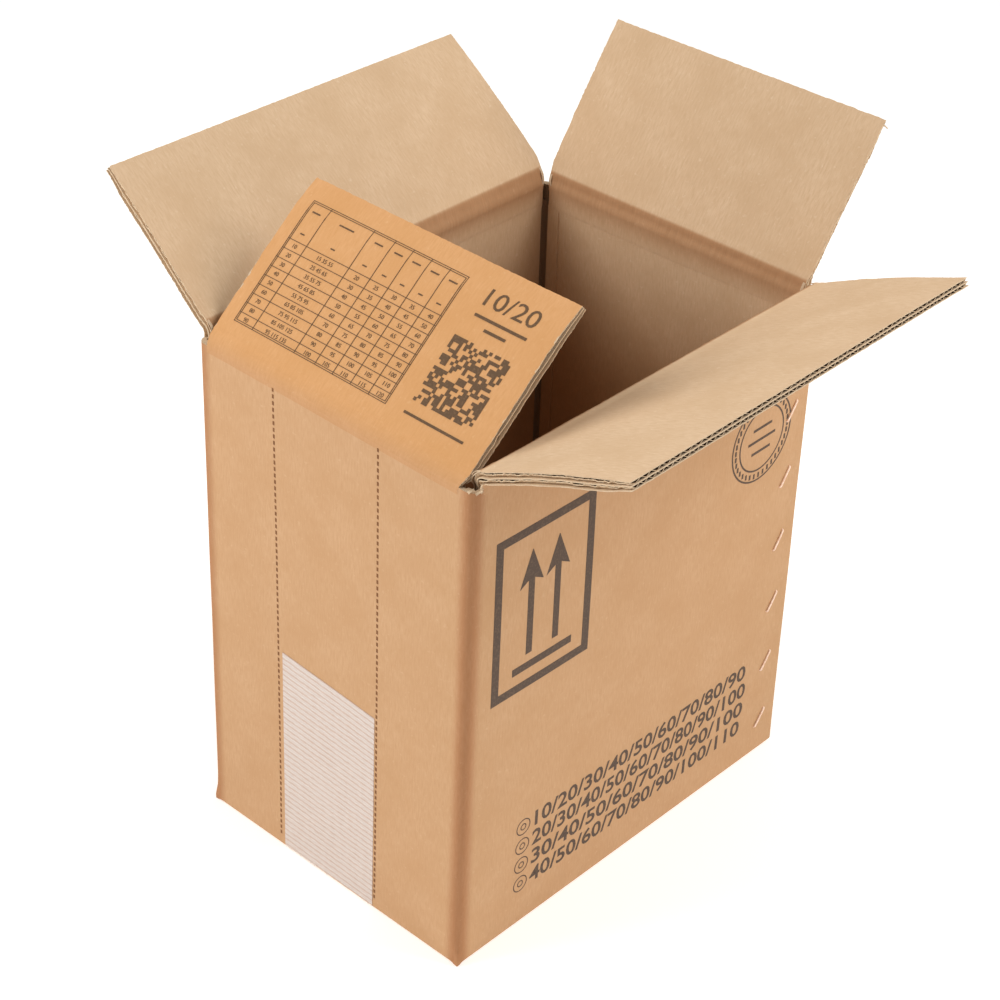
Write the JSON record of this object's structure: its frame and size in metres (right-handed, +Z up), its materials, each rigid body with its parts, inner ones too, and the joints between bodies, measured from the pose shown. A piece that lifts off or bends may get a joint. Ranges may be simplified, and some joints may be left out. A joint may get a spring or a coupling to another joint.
{
  "type": "dangerous goods shipping box",
  "caption": "Double-wall corrugated carton with a taped bottom and four open hinged top flaps, for shipping dangerous goods.",
  "frame": {"origin": "centre of the base, on the surface that the box stands on", "axes": "+Z up, +X along the long walls, the stitched long wall faces -Y, the printed end flap is at -X"},
  "size_m": [0.3453, 0.3876, 0.4223],
  "materials": {
    "kraft_board": "kraft liner, calendered, matt",
    "printed_flap_board": "kraft liner, printed, matt",
    "inner_board": "unprinted test liner, matt",
    "filament_tape": "film tape with cross threads, semi-gloss",
    "stitching_wire": "coppered flat steel wire, bright"
  },
  "bodies": {
    "carton": {"box_body": "kraft_board", "closure_tape": "filament_tape", "wire_stitches": "stitching_wire"},
    "printed_end": {"printed_end_flap": "printed_flap_board"},
    "plain_end": {"plain_end_flap": "inner_board"},
    "front_long": {"front_long_flap": "inner_board"},
    "back_long": {"back_long_flap": "inner_board"}
  },
  "joints": [
    {"name": "printed_end_crease", "type": "hinge", "parent": "carton", "child": "printed_end", "pos_m": [-0.1447, 0, 0.329], "axis": [0, -1, 0], "range_deg": [-42, 178]},
    {"name": "plain_end_crease", "type": "hinge", "parent": "carton", "child": "plain_end", "pos_m": [0.1447, 0, 0.329], "axis": [0, 1, 0], "range_deg": [-122, 98]},
    {"name": "front_long_crease", "type": "hinge", "parent": "carton", "child": "front_long", "pos_m": [0, -0.1047, 0.33], "axis": [1, 0, 0], "range_deg": [-66, 64]},
    {"name": "back_long_crease", "type": "hinge", "parent": "carton", "child": "back_long", "pos_m": [0, 0.1047, 0.33], "axis": [-1, 0, 0], "range_deg": [-51, 79]}
  ]
}
